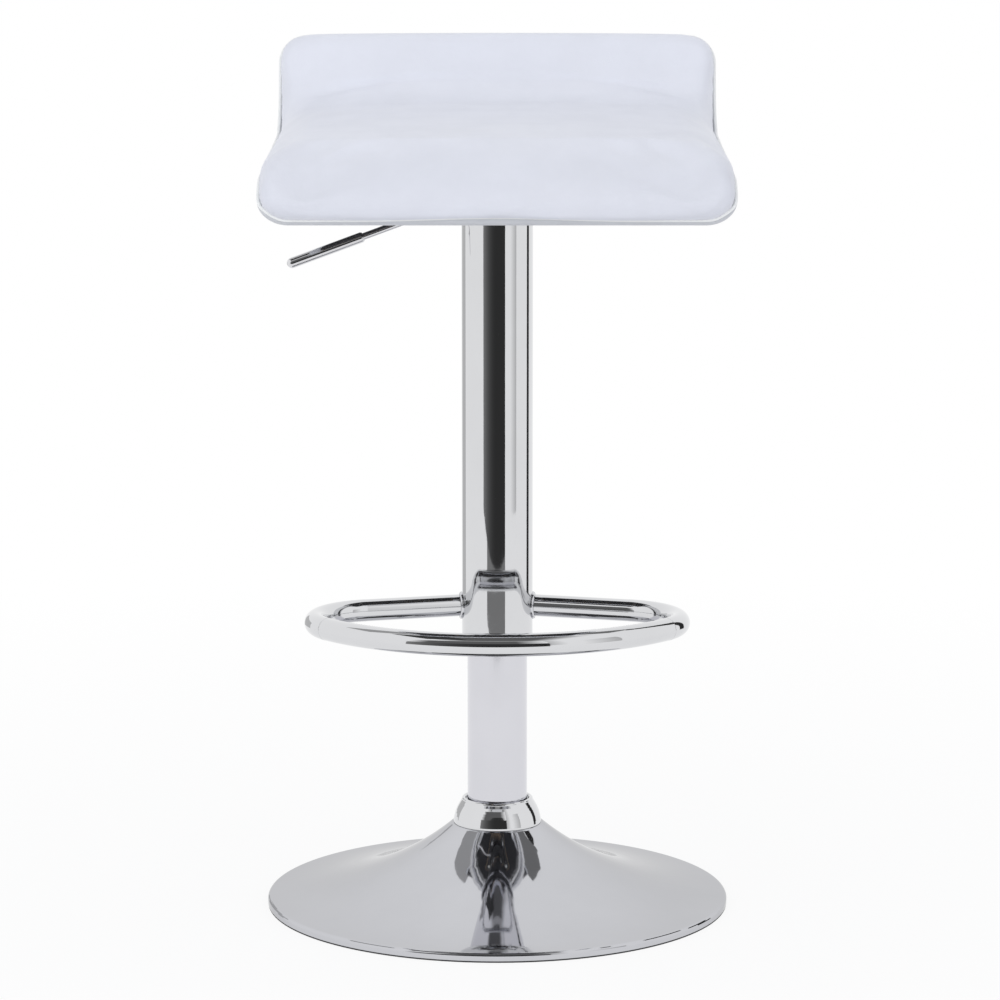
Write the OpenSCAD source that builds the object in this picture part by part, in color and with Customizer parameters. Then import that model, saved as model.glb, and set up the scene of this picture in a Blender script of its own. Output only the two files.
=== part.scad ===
// Height-adjustable swivel stool: trumpet base, gas lift, D-shaped footrest and padded wave seat.
// Origin at the centre of the base on the floor, +Z up. The seat's front faces -Y, the lever is at -X.
// The lift is drawn part way up, lift_down above its lowest stop and lift_up below its highest.

/* [Base] */
// Diameter over the base's rim
base_d = 393.2; // [350:0.2:430]
// Height of the rim's rolled edge above the floor
rim_h = 7.5; // [6.5:0.5:12]
// Radius of the rim's rolled edge
rim_round = 3; // [3:0.5:5]
// Slope of the flare where it meets the rim, in degrees
rim_slope = 2.5; // [0:0.5:6]
// Sheet thickness of the pressed base pan
pan_t = 1.6; // [1.2:0.1:2.2]
// Diameter at which the flare leaves the neck
flare_d = 80; // [78:1:92]
// Height at which the flare leaves the neck
flare_z = 67.8; // [56:0.1:80]
// Radius of the bend round the top of the neck
neck_round = 5; // [4:0.5:8]
// Height of the neck collar
collar_h = 21.7; // [18:0.1:30]
// Outer diameter at the foot of the neck collar
collar_d = 75; // [72:0.5:78]
// Outer diameter at the lip of the neck collar
collar_lip_d = 60.6; // [59:0.1:64]
// Wall of the neck collar
collar_wall = 2; // [1.5:0.1:2.5]
// Thickness of the floor ring under the rim
foot_t = 1.2; // [1:0.1:2]
// Width of the floor ring's upright inside the rim
ring_t = 3; // [2:0.5:6]
// Wall of the hub that holds the column
hub_wall = 3; // [2:0.5:4]
// Height of the hub's underside above the floor
hub_z = 10; // [6:0.5:14]
// Width of each brace arm
brace_w = 24; // [16:1:36]
// Sheet thickness of the brace arms
brace_t = 2.5; // [1.5:0.1:3.5]
// Depth of the brace arms' side flanges
brace_depth = 7; // [5:0.5:9]

/* [Column] */
// Outer diameter of the fixed column
column_d = 50.8; // [48:0.1:52]
// Wall of the fixed column
column_wall = 1.5; // [1.2:0.1:2.5]
// Length of the guide bushing in the column's top
guide_len = 70; // [50:1:90]
// Thickness of the guide bushing's flange
guide_flange = 3; // [2:0.5:5]
// Thickness of the plate that closes the column's foot
end_plate_t = 4; // [3:0.5:6]
// Height of the end plate above the column's foot
end_plate_lift = 8; // [6:0.5:12]

/* [Lift] */
// Travel left above the modelled height
lift_up = 100; // [60:1:110]
// Travel left below the modelled height
lift_down = 115; // [80:1:130]
// Outer diameter of the moving sleeve
sleeve_d = 60; // [59:0.1:62]
// Wall of the moving sleeve
sleeve_wall = 1.5; // [1.2:0.1:2]
// Length of the moving sleeve
sleeve_len = 354; // [345:0.1:400]
// Gap between the collar and the sleeve at the lowest stop
sleeve_clear = 24.9; // [10:0.1:40]
// Length of the plastic bush in the sleeve's foot
sleeve_bush_len = 34; // [20:1:45]
// Diameter of the gas spring's pressure tube
gas_d = 28; // [26:0.5:28.5]
// Wall of the pressure tube
gas_wall = 1.5; // [1.2:0.1:2]
// Diameter of the piston rod
rod_d = 10; // [9:0.5:10.5]
// Height of the taper hub in the sleeve's top
taper_h = 43; // [30:1:50]
// Diameter lost by the pressure tube's taper over the hub
taper_loss = 1.4; // [0.8:0.1:2]
// Gap between the taper hub and the column's guide at the lowest stop
head_clear = 7; // [4:0.5:15]
// Length of the seal and rod guide in the pressure tube's foot
seal_len = 22; // [16:1:26]
// Thickness of the piston
piston_t = 12; // [8:0.5:14]
// Length of the valve body in the pressure tube's head
valve_len = 28; // [20:1:34]
// Diameter of the release pin
release_d = 8; // [6:0.5:9]
// Height of the release pin above the pressure tube
release_h = 9.5; // [7:0.5:10]
// Diameter of the balls in the thrust bearing
ball_d = 4; // [3.5:0.1:4.4]
// Number of balls in the thrust bearing
ball_count = 10; // [8:1:11]

/* [Footrest] */
// Diameter of the footrest's tube
foot_d = 18.8; // [16:0.2:22]
// Wall of the footrest's tube
foot_wall = 1.2; // [1:0.1:2]
// Height of the footrest's centreline above the sleeve's foot
foot_rise = 26; // [20:0.1:60]
// Distance from the column's axis to the front of the centreline
foot_front = 179.5; // [165:0.5:184]
// Half of the centreline's greatest width
foot_half_w = 150; // [140:0.5:160]
// Bend radius of the centreline's rear corners
foot_corner_r = 55; // [40:1:65]
// Forward sweep of the bars beside the sleeve, in degrees
foot_sweep = 17.2; // [12:0.1:22]

/* [Seat] */
// Width of the seat
seat_w = 381; // [360:1:420]
// Forward slope of the seat's middle, in degrees
seat_tilt = 6; // [4:0.5:7]
// Distance from the column's axis back to the corner of the rear bend
back_reach = 139.8; // [130:0.1:150]
// Distance from the column's axis forward to the corner of the front bend
front_reach = 156.9; // [140:0.1:158]
// Length of the upturned back from that corner
back_rise = 82.7; // [70:0.1:100]
// Angle between the seat's middle and its upturned back, in degrees
back_angle = 71; // [60:1:76]
// Radius of the rear bend
back_bend_r = 50; // [40:1:60]
// Length of the downturned front from its corner
front_drop = 32.5; // [32.2:0.1:40]
// Angle between the seat's middle and its downturned front, in degrees
front_angle = 80; // [70:1:80]
// Radius of the front bend
front_bend_r = 38; // [30:1:38]
// Radius of the seat's corners
corner_r = 24; // [20:1:34]
// Thickness of the bent plywood
core_t = 12; // [11:0.5:15]
// Width of the upholstered band round the plywood's edge
band_w = 6; // [4:0.5:8]
// Distance from the band's outside in to the foot of the cushion
pad_inset = 4; // [3:0.5:9]
// Height of the cushion's shoulder above the plywood
pad_h = 24; // [20:1:32]
// Crown of the cushion above its shoulder
pad_crown = 5; // [0:0.5:8]
// Radius of the cushion's shoulder
pad_round = 19; // [14:1:20]
// Thickness of the cushion's cover
cover_t = 1.5; // [1:0.1:2.5]
// Thickness of the cloth under the seat
dust_t = 1; // [0.6:0.1:1.5]
// Distance from the band's outside in to the edge of the cloth
dust_inset = 14; // [10:1:20]

/* [Seat plate] */
// Width of the seat plate, across the seat
plate_w = 150; // [140:1:170]
// Depth of the seat plate, front to back
plate_d = 130; // [120:1:140]
// Sheet thickness of the seat plate
plate_t = 2.5; // [2:0.1:3]
// Depth of the seat plate's dish at the column's axis
dish_depth = 39.2; // [38:0.1:44]
// Diameter inside the dish's floor
dish_floor_d = 87; // [84:1:92]
// Diameter inside the dish's mouth
dish_mouth_d = 112; // [106:1:114]
// Spacing of the seat bolts across the seat
bolt_x = 112; // [108:1:124]
// Spacing of the seat bolts front to back
bolt_y = 92; // [88:1:100]
// Diameter of the seat bolts
bolt_d = 6; // [5:0.5:6.5]
// Length of each slot in the plate beyond its bolt's diameter
slot_play = 6; // [2:0.5:8]

/* [Lever] */
// Distance from the column's axis to the lever's pivot
pivot_x = 34; // [32:0.5:35]
// Height of the lever's pivot above the dish's floor
pivot_h = 10.8; // [9.5:0.1:11]
// Diameter of the lever's rod
lever_d = 6; // [5:0.5:6.5]
// Downward slope of the lever's handle, in degrees
lever_slope = 20.2; // [19:0.1:21]
// Length of the lever from its pivot to its tip
lever_len = 151; // [120:1:170]
// Diameter of the lever's grip
grip_d = 9; // [8:0.5:12]
// Length of the lever's grip
grip_len = 68; // [50:1:80]
// Diameter of the lever's pivot pin
pivot_d = 5; // [4:0.5:5.5]

/* [Fits] */
// Clearance all round between pieces that are fixed together
fit_gap = 0.1; // [0.05:0.01:0.2]
// Clearance all round between pieces that turn or slide on each other
run_gap = 0.05; // [0.03:0.01:0.08]
// Clearance under soft pieces
soft_gap = 0.3; // [0.2:0.05:0.5]

/* [Hidden] */

CHROME = [0.86, 0.87, 0.89];
STEEL = [0.62, 0.63, 0.65];
DARK_STEEL = [0.16, 0.16, 0.17];
PLASTIC = [0.12, 0.12, 0.13];
LEATHER = [0.90, 0.91, 0.95];

$fn = 96;
EPS = 1;

// Base pan: the flare is one arc that is tangent to the rim's slope
rim_r = base_d / 2;
rim_c = [rim_r - rim_round, rim_h - rim_round];
flare_end = rim_c + rim_round * [sin(rim_slope), cos(rim_slope)];
flare_start = [flare_d / 2, flare_z];
chord_angle = atan2(flare_start.y - flare_end.y, flare_end.x - flare_start.x);
neck_slope = 2 * chord_angle - rim_slope;
flare_r = norm(flare_end - flare_start) / (2 * sin((neck_slope - rim_slope) / 2));
flare_c = flare_start + flare_r * [sin(neck_slope), cos(neck_slope)];
neck_c = flare_start - neck_round * [sin(neck_slope), cos(neck_slope)];
neck_z = neck_c.y + neck_round;
brace_top = hub_z + brace_depth;

// Column and hub
column_r = column_d / 2;
column_bore = column_r - column_wall;
hub_r = column_r + fit_gap + hub_wall;
hub_lip = 2;
hub_rise = 4.5;
column_z = hub_z + hub_lip + fit_gap;
collar_z = neck_z + fit_gap;
collar_top = collar_z + collar_h;

// Heights of the moving parts, at the modelled height
sleeve_z = collar_top + lift_down + sleeve_clear;
sleeve_top = sleeve_z + sleeve_len;
sleeve_r = sleeve_d / 2;
sleeve_bore = sleeve_r - sleeve_wall;
taper_z = sleeve_top - taper_h;
guide_top = taper_z - lift_down - head_clear;
column_top = guide_top - guide_flange;
dish_z = sleeve_top + fit_gap;
dish_floor = dish_z + plate_t;
foot_z = sleeve_z + foot_rise;

// Gas spring
gas_r = gas_d / 2;
gas_bore = gas_r - gas_wall;
gas_clear = 10;
gas_z = column_top - guide_len - lift_up - gas_clear;
gas_top = dish_floor + 2.5;
rod_r = rod_d / 2;
rod_neck_r = rod_r - 1;
seal_z = gas_z + 1;
piston_z = seal_z + seal_len + lift_up + 8;
piston_stub = 2;
valve_z = gas_top - valve_len - 0.5;
release_r = release_d / 2;
release_top = gas_top + release_h;
release_play = 6;

// Thrust bearing, from the end plate up to the shoulder of the rod
end_plate_z = column_z + end_plate_lift;
ball_r = ball_d / 2;
race_t = 2.5;
race_groove = 0.5;
race_r = 12;
ball_track = 8.6;
lower_race_z = end_plate_z + end_plate_t + fit_gap;
ball_z = lower_race_z + race_t + ball_r + run_gap - race_groove;
upper_race_z = ball_z + ball_r + run_gap - race_groove;
shoulder_z = upper_race_z + race_t + fit_gap;
clip_t = 1.5;
clip_z = end_plate_z - 0.3 - clip_t;
clip_bore = 3;
bump_h = 26;

// Footrest: bars tangent to the corners, corners tangent to one front arc
foot_r = foot_d / 2;
foot_cx = foot_half_w - foot_corner_r;
foot_cy = (foot_corner_r + (foot_cx - sleeve_r) * sin(foot_sweep)) / cos(foot_sweep);
foot_m = foot_front - foot_corner_r;
foot_q = (pow(foot_m, 2) - pow(foot_cx, 2) - pow(foot_cy, 2)) / (2 * (foot_cy - foot_m));
foot_front_r = foot_front + foot_q;
foot_join = atan2(foot_cy + foot_q, foot_cx);
bend_step = 0.1;
bend_lap = 0.6;

// Seat: its section is worked out in its own tilted plane, as [back, up] from the column's axis
seat_z = dish_z + dish_depth + (plate_t + core_t) / cos(seat_tilt);
plate_top_n = -core_t - fit_gap;
plate_low_n = plate_top_n - plate_t;
back_dir = [cos(back_angle), sin(back_angle)];
back_normal = [-sin(back_angle), cos(back_angle)];
front_dir = [-cos(front_angle), -sin(front_angle)];
front_normal = [-sin(front_angle), cos(front_angle)];
back_c = [back_reach - back_bend_r * tan(back_angle / 2), back_bend_r];
front_c = [front_bend_r * tan(front_angle / 2) - front_reach, -front_bend_r];
back_end = [back_reach, 0] + back_rise * back_dir;
front_end = [-front_reach, 0] + front_drop * front_dir;
bend_steps = 16;
sheet_overrun = 12;

// Lengths along the section, from the top of the back to the lip of the front
len_back = back_rise - back_bend_r * tan(back_angle / 2);
len_rear_bend = back_bend_r * back_angle * PI / 180;
len_middle = back_c.x - front_c.x;
len_front_bend = front_bend_r * front_angle * PI / 180;
len_front = front_drop - front_bend_r * tan(front_angle / 2);
at_rear_bend = len_back;
at_middle = at_rear_bend + len_rear_bend;
at_front_bend = at_middle + len_middle;
at_front = at_front_bend + len_front_bend;
section_len = at_front + len_front;

// Lever
pivot_z = dish_floor + pivot_h;
pivot_pos = [-pivot_x, 0, pivot_z];
lever_r = lever_d / 2;
boss_r = 6;
boss_w = 10;
ear_t = 2;
ear_gap = 0.3;
ear_r = 6;
arm_gap = 0.3;
arm_slope = atan2(release_top + arm_gap + lever_r - pivot_z, pivot_x);
arm_len = pivot_x / cos(arm_slope) + 1;
lever_slot_w = lever_d + 4;

// Seat bolts, washers and tee nuts
washer_t = 1.2;
washer_r = 7;
bolt_head_h = 4;
nut_flange_t = 1.2;
nut_flange_r = 9;
nut_wall = 0.9;
nut_len = core_t - 3;

function polar(r, a) = [r * cos(a), r * sin(a)];
function arc(c, r, a0, a1, n) = [for (i = [0:n]) c + polar(r, a0 + (a1 - a0) * i / n)];
function reversed(p) = [for (i = [len(p) - 1:-1:0]) p[i]];
function world_z(p) = seat_z + p.x * sin(seat_tilt) + p.y * cos(seat_tilt);

seat_high = world_z(back_end);
seat_low = world_z(front_end);

// The seat's section at height n above the plywood's top, lengthened past both ends by extra
function section_line(n, extra) = concat(
  [back_end + n * back_normal + extra * back_dir],
  [for (i = [0:bend_steps])
    let (a = back_angle * (1 - i / bend_steps))
    back_c + (back_bend_r - n) * [sin(a), -cos(a)]],
  [for (i = [0:bend_steps])
    let (a = front_angle * i / bend_steps)
    front_c + (front_bend_r + n) * [-sin(a), cos(a)]],
  [front_end + n * front_normal + extra * front_dir]
);

// The point at length s along the section and height n above the plywood's top
function section_point(s, n) =
  s < at_rear_bend ? back_end - s * back_dir + n * back_normal
  : s < at_middle ?
    let (a = back_angle * (1 - (s - at_rear_bend) / len_rear_bend))
    back_c + (back_bend_r - n) * [sin(a), -cos(a)]
  : s < at_front_bend ? [back_c.x - (s - at_middle), n]
  : s < at_front ?
    let (a = front_angle * (s - at_front_bend) / len_front_bend)
    front_c + (front_bend_r + n) * [-sin(a), cos(a)]
  : front_end - (section_len - s) * front_dir + n * front_normal;

// Cushion: a shoulder of radius pad_round all round, over corners of radius corner_r
function shoulder(t, r) = sqrt(max(0, 1 - pow(1 - min(t, r) / r, 2)));
function from_end(s, inset) = max(0, min(s, section_len - s) - pad_inset - inset);
function pad_half_w(s, inset) =
  let (r = corner_r - pad_inset - inset)
  seat_w / 2 - pad_inset - inset - r + r * shoulder(from_end(s, inset), r);
function pad_height(s, x, inset) =
  let (half = pad_half_w(s, inset), r = pad_round - inset)
  (pad_h - inset + pad_crown * (1 - pow(x / half, 2)))
  * shoulder(from_end(s, inset), r) * shoulder(half - abs(x), r);
function eased(r, n) = [for (i = [0:n]) r * (1 - cos(90 * i / n))];
function pad_rows(inset) =
  let (
    first = pad_inset + inset,
    last = section_len - first,
    ends = eased(pad_round - inset, 5),
    turn = last - (pad_round - inset)
  )
  concat(
    [for (e = ends) first + e],
    [for (i = [0:10]) at_rear_bend + len_rear_bend * i / 10],
    [for (i = [1:5]) at_middle + len_middle * i / 6],
    [for (i = [0:5]) at_front_bend + (turn - at_front_bend) * i / 6],
    [for (e = reversed(ends)) last - e]
  );
function pad_columns(half, inset) =
  let (ends = eased(pad_round - inset, 4), flat = half - (pad_round - inset))
  concat(
    [for (e = ends) -half + e],
    [for (i = [1:6]) flat * (2 * i / 7 - 1)],
    [for (e = reversed(ends)) half - e]
  );
function pad_grid(inset, base, rise) = [
  for (s = pad_rows(inset))
    for (x = pad_columns(pad_half_w(s, inset), inset))
      let (p = section_point(s, base + (rise < 0 ? 0 : rise + pad_height(s, x, inset))))
      [x, p.x, p.y]
];

module tube(r_out, r_in, z0, z1) {
  translate([0, 0, z0]) difference() {
    cylinder(r = r_out, h = z1 - z0);
    translate([0, 0, -EPS]) cylinder(r = r_in, h = z1 - z0 + 2 * EPS);
  }
}

module rounded_rect(w, h, r) {
  square([w - 2 * r, h], center = true);
  square([w, h - 2 * r], center = true);
  for (x = [-1, 1], y = [-1, 1])
    translate([x * (w / 2 - r), y * (h / 2 - r)]) circle(r = r);
}

// Puts its children into the seat's tilted plane: +X across, +Y back, +Z up from the plywood's top
module on_seat() {
  translate([0, 0, seat_z]) rotate([seat_tilt, 0, 0]) children();
}

module at_bolts() {
  on_seat()
    for (x = [-1, 1], y = [-1, 1])
      translate([x * bolt_x / 2, y * bolt_y / 2, 0]) children();
}

// A closed solid between two grids of points with the same rows and columns
module between_grids(top, low, rows) {
  cols = len(top) / rows;
  n = len(top);
  rim = concat(
    [for (j = [0:cols - 1]) j],
    [for (i = [1:rows - 1]) i * cols + cols - 1],
    [for (j = [cols - 2:-1:0]) (rows - 1) * cols + j],
    [for (i = [rows - 2:-1:1]) i * cols]
  );
  faces = concat(
    [for (i = [0:len(rim) - 1], k = [0, 1])
      let (a = rim[i], b = rim[(i + 1) % len(rim)])
      k == 0 ? [b, a, a + n] : [b, a + n, b + n]],
    [for (i = [0:rows - 2], j = [0:cols - 2], k = [0, 1])
      let (a = i * cols + j, b = a + 1, c = a + cols + 1, d = a + cols)
      k == 0 ? [a, b, c] : [a, c, d]],
    [for (i = [0:rows - 2], j = [0:cols - 2], k = [0, 1])
      let (a = n + i * cols + j, b = a + 1, c = a + cols + 1, d = a + cols)
      k == 0 ? [c, b, a] : [d, c, a]]
  );
  polyhedron(points = concat(top, low), faces = faces, convexity = 10);
}

// The half section under the pan's outer face, taken in by inset
module pan_region(inset, bottom) {
  difference() {
    polygon(concat(
      [[0, bottom], [rim_r - inset, bottom]],
      arc(rim_c, rim_round - inset, 0, 90 - rim_slope, 6),
      arc(neck_c, neck_round - inset, 90 - neck_slope, 90, 6),
      [[0, neck_z - inset]]
    ));
    translate(flare_c) circle(r = flare_r + inset);
  }
}

module base_pan() {
  color(CHROME) rotate_extrude() difference() {
    pan_region(0, foot_t + fit_gap);
    pan_region(pan_t, -EPS);
    translate([0, neck_z - 2 * pan_t]) square([hub_r + fit_gap, 3 * pan_t]);
  }
}

module base_hub() {
  color(STEEL) {
    tube(hub_r, column_r + fit_gap, hub_z, neck_z + hub_rise);
    tube(column_r + fit_gap + hub_wall / 2, column_bore - 2, hub_z, hub_z + hub_lip);
  }
}

// Four pressed channels from the hub to the pan's underside
module base_brace() {
  color(DARK_STEEL) difference() {
    intersection() {
      for (a = [0:90:270])
        rotate(a) translate([0, 0, brace_top]) rotate([90, 0, 90]) linear_extrude(rim_r)
          brace_section();
      rotate_extrude() pan_region(pan_t + fit_gap, 0);
    }
    cylinder(r = hub_r + fit_gap, h = neck_z);
  }
}

module brace_section() {
  translate([-brace_w / 2, -brace_t]) square([brace_w, brace_t]);
  for (x = [-brace_w / 2, brace_w / 2 - brace_t])
    translate([x, -brace_depth]) square([brace_t, brace_depth]);
}

// Rubber ring: an upright inside the rim and a foot under its edge
module floor_ring() {
  upright_r = rim_r - pan_t - fit_gap;
  color(PLASTIC) rotate_extrude() polygon([
    [upright_r - ring_t, 0], [rim_r - 0.3, 0], [rim_r - 0.3, foot_t],
    [upright_r, foot_t], [upright_r, rim_c.y], [upright_r - ring_t, rim_c.y]
  ]);
}

// Trim collar: a bulged skirt, a rounded lip, and a ledge inside that reaches the column
module neck_collar() {
  foot_r = collar_d / 2;
  lip_r = 1.7;
  lip_c = [collar_lip_d / 2 - lip_r, collar_h - lip_r];
  skirt_start = [foot_r, 1.5];
  skirt_end = lip_c + [lip_r, -0.4];
  chord = skirt_end - skirt_start;
  bulge = 1.2;
  out = [-chord.y, chord.x] / -norm(chord);
  ledge_z = collar_h - 4;
  color(CHROME) translate([0, 0, collar_z]) rotate_extrude() polygon(concat(
    [[foot_r, 0]],
    [for (i = [0:8]) skirt_start + chord * i / 8 + out * bulge * sin(180 * i / 8)],
    arc(lip_c, lip_r, 0, 180, 10),
    [
      [lip_c.x - lip_r, ledge_z], [column_r + fit_gap, ledge_z],
      [column_r + fit_gap, ledge_z - collar_wall], [lip_c.x - lip_r, ledge_z - collar_wall],
      [foot_r - collar_wall, 1.5], [foot_r - collar_wall, 0]
    ]
  ));
}

module column_tube() {
  color(CHROME) tube(column_r, column_bore, column_z, column_top);
}

module column_end_plate() {
  color(STEEL)
    tube(column_bore - fit_gap, rod_neck_r + run_gap, end_plate_z, end_plate_z + end_plate_t);
}

// Plastic guide: the pressure tube slides in its bore, its flange caps the column
module column_guide() {
  color(PLASTIC) {
    tube(column_bore - fit_gap, gas_r + run_gap, column_top - guide_len, column_top + fit_gap);
    tube(column_r, gas_r + run_gap, column_top + fit_gap, guide_top);
  }
}

module race(z, bore) {
  color(STEEL) difference() {
    tube(race_r, bore, z, z + race_t);
    translate([0, 0, ball_z]) rotate_extrude() translate([ball_track, 0])
      circle(r = ball_r + run_gap);
  }
}

module bearing_lower_race() {
  race(lower_race_z, rod_neck_r + 1);
}

module bearing_upper_race() {
  race(upper_race_z, rod_neck_r + run_gap);
}

module bearing_balls() {
  color(STEEL) for (i = [0:ball_count - 1])
    rotate(360 * i / ball_count) translate([ball_track, 0, ball_z]) sphere(r = ball_r);
}

module ball_cage() {
  cage_t = 1.2;
  color(PLASTIC) difference() {
    tube(ball_track + ball_r + 0.3, ball_track - ball_r - 0.3, ball_z - cage_t / 2, ball_z + cage_t / 2);
    for (i = [0:ball_count - 1])
      rotate(360 * i / ball_count) translate([ball_track, 0, ball_z - EPS])
        cylinder(r = ball_r + run_gap, h = 2 * EPS);
  }
}

// C-shaped clip that snaps into the rod's groove from one side
module rod_clip() {
  color(STEEL) difference() {
    tube(2 * rod_neck_r, clip_bore + run_gap, clip_z, clip_z + clip_t);
    translate([0, -clip_bore * 0.8, clip_z - EPS])
      cube([3 * rod_neck_r, clip_bore * 1.6, clip_t + 2 * EPS]);
  }
}

module bump_stop() {
  color(PLASTIC) tube(race_r - 1, rod_r + fit_gap, shoulder_z, shoulder_z + bump_h);
}

module piston_rod() {
  clip_room = 0.1;
  color(CHROME) difference() {
    union() {
      translate([0, 0, clip_z - 3]) cylinder(r = rod_neck_r, h = shoulder_z - clip_z + 3);
      translate([0, 0, shoulder_z]) cylinder(r = rod_r, h = piston_z - shoulder_z);
      translate([0, 0, piston_z]) cylinder(r = rod_neck_r, h = piston_t + piston_stub);
    }
    tube(rod_r, clip_bore, clip_z - clip_room, clip_z + clip_t + clip_room);
  }
}

module piston_head() {
  color(STEEL) difference() {
    tube(gas_bore - run_gap, rod_neck_r + fit_gap, piston_z + fit_gap, piston_z + piston_t);
    translate([0, 0, piston_z + piston_t / 2]) rotate_extrude()
      translate([gas_bore - run_gap - 1.2, 0]) circle(r = 1.2 + run_gap);
  }
}

module piston_ring() {
  color(PLASTIC) translate([0, 0, piston_z + piston_t / 2]) rotate_extrude()
    translate([gas_bore - run_gap - 1.2, 0]) circle(r = 1.2);
}

// The pressure tube's head tapers into the taper hub
module pressure_tube() {
  head_r = gas_r - taper_loss / 2;
  color(STEEL) difference() {
    union() {
      translate([0, 0, gas_z]) cylinder(r = gas_r, h = taper_z - gas_z);
      translate([0, 0, taper_z]) cylinder(r1 = gas_r, r2 = head_r, h = sleeve_top - taper_z);
      translate([0, 0, sleeve_top]) cylinder(r = head_r, h = gas_top - sleeve_top);
    }
    translate([0, 0, gas_z - EPS]) cylinder(r = gas_bore, h = valve_z - gas_z + EPS);
    translate([0, 0, valve_z - EPS]) cylinder(r = gas_bore - 1, h = gas_top - valve_z + 2 * EPS);
  }
}

module rod_seal() {
  color(PLASTIC) tube(gas_bore - fit_gap, rod_r + run_gap, seal_z, seal_z + seal_len);
}

module valve_body() {
  color(STEEL)
    tube(gas_bore - 1 - fit_gap, release_r + run_gap, valve_z + fit_gap, gas_top);
}

// Release pin with a domed head
module release_pin() {
  dome_r = 1.6 * release_r;
  dome_h = dome_r - sqrt(pow(dome_r, 2) - pow(release_r, 2));
  color(STEEL) intersection() {
    translate([0, 0, valve_z + release_play])
      cylinder(r = release_r, h = release_top - valve_z - release_play);
    translate([0, 0, release_top - dome_r]) union() {
      sphere(r = dome_r);
      translate([0, 0, -release_top]) cylinder(r = dome_r, h = release_top);
    }
  }
}

module taper_hub() {
  color(STEEL) difference() {
    translate([0, 0, taper_z]) cylinder(r = sleeve_bore - fit_gap, h = sleeve_top - taper_z);
    translate([0, 0, taper_z])
      cylinder(r1 = gas_r + fit_gap, r2 = gas_r - taper_loss / 2 + fit_gap, h = taper_h);
    translate([0, 0, taper_z - EPS]) cylinder(r = gas_r + fit_gap, h = EPS);
  }
}

module sleeve_tube() {
  color(CHROME) tube(sleeve_r, sleeve_bore, sleeve_z, sleeve_top);
}

// Plastic bush that centres the sleeve on the column, flush with the sleeve's foot
module sleeve_bush() {
  color(PLASTIC)
    tube(sleeve_bore - fit_gap, column_r + run_gap, sleeve_z + 0.5, sleeve_z + sleeve_bush_len);
}

module foot_arc(c, r, from, sweep, tube_r) {
  translate(c) rotate(from) rotate_extrude(angle = sweep) translate([r, 0]) circle(r = tube_r);
}

// A bar beside the sleeve and the bend at its end; the bar laps into the bend
module foot_half(tube_r) {
  bar_dir = [-cos(foot_sweep), sin(foot_sweep)];
  bend_end = [foot_cx, -foot_cy] + foot_corner_r * [sin(foot_sweep), cos(foot_sweep)];
  bar_len = norm(bend_end - [sleeve_r, 0]) + sleeve_r / 2;
  translate(bend_end - bend_lap * bar_dir) rotate([90, 0, -90 - foot_sweep])
    cylinder(r = tube_r - bend_step, h = bar_len);
  foot_arc([foot_cx, -foot_cy], foot_corner_r, -foot_join, 90 - foot_sweep + foot_join, tube_r);
}

// The whole loop: two halves and the front arc between them, which laps into both bends
module foot_loop(tube_r) {
  lap = 180 * bend_lap / foot_front_r / PI;
  for (m = [0, 1]) mirror([m, 0, 0]) foot_half(tube_r);
  foot_arc(
    [0, foot_q], foot_front_r, foot_join - 180 - lap, 180 - 2 * foot_join + 2 * lap,
    tube_r - bend_step
  );
}

// One tube, bent into a D, with its ends welded to the sleeve's sides
module footrest_tube() {
  $fn = 40;
  color(CHROME) translate([0, 0, foot_z]) difference() {
    foot_loop(foot_r);
    foot_loop(foot_r - foot_wall);
    translate([0, 0, -2 * foot_d]) cylinder(r = sleeve_r + fit_gap, h = 4 * foot_d);
  }
}

module plate_outline() {
  rounded_rect(plate_w, plate_d, 12);
}

module slot_outline() {
  r = bolt_d / 2 + 0.4;
  square([slot_play, 2 * r], center = true);
  for (x = [-slot_play / 2, slot_play / 2]) translate([x, 0]) circle(r = r);
}

// The dish's inside, widened all round by grow
module dish_cone(grow) {
  floor_r = dish_floor_d / 2 + grow;
  mouth_r = dish_mouth_d / 2 + grow;
  height = 2 * dish_depth;
  slope = (mouth_r - floor_r) / dish_depth;
  translate([0, 0, dish_floor - grow])
    cylinder(r1 = floor_r, r2 = floor_r + slope * height, h = height);
}

// Pressed plate: a flange on the plywood and a dish that holds the release mechanism
module seat_plate() {
  color(DARK_STEEL) difference() {
    union() {
      on_seat() translate([0, 0, plate_low_n]) linear_extrude(plate_t) plate_outline();
      dish_cone(plate_t);
    }
    dish_cone(0);
    on_seat() translate([-seat_w / 2, -seat_w / 2, plate_top_n]) cube([seat_w, seat_w, seat_w]);
    translate([0, 0, dish_z - EPS]) cylinder(r = gas_r + 2, h = plate_t + 2 * EPS);
    translate([-dish_mouth_d / 2 - 10, -lever_slot_w / 2, dish_floor + 0.5])
      cube([dish_mouth_d / 2, lever_slot_w, pivot_h + 4]);
    at_bolts() translate([0, 0, plate_low_n - EPS]) linear_extrude(plate_t + 2 * EPS)
      slot_outline();
  }
}

// U-shaped bracket on the dish's floor, with two ears for the pivot pin
module lever_bracket() {
  low = dish_floor + fit_gap;
  inner = boss_w / 2 + ear_gap;
  color(STEEL) difference() {
    union() {
      translate([-pivot_x - ear_r, -inner - ear_t, low])
        cube([2 * ear_r + 2, 2 * (inner + ear_t), ear_t]);
      for (y = [-inner - ear_t, inner]) {
        translate([-pivot_x - ear_r, y, low]) cube([2 * ear_r, ear_t, pivot_z - low]);
        translate([-pivot_x, y + ear_t, pivot_z]) rotate([90, 0, 0])
          cylinder(r = ear_r, h = ear_t);
      }
    }
    translate([-pivot_x, boss_w, pivot_z]) rotate([90, 0, 0])
      cylinder(r = pivot_d / 2 + fit_gap, h = 2 * boss_w);
    cylinder(r = gas_r + 2, h = 2 * dish_floor);
  }
}

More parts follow.
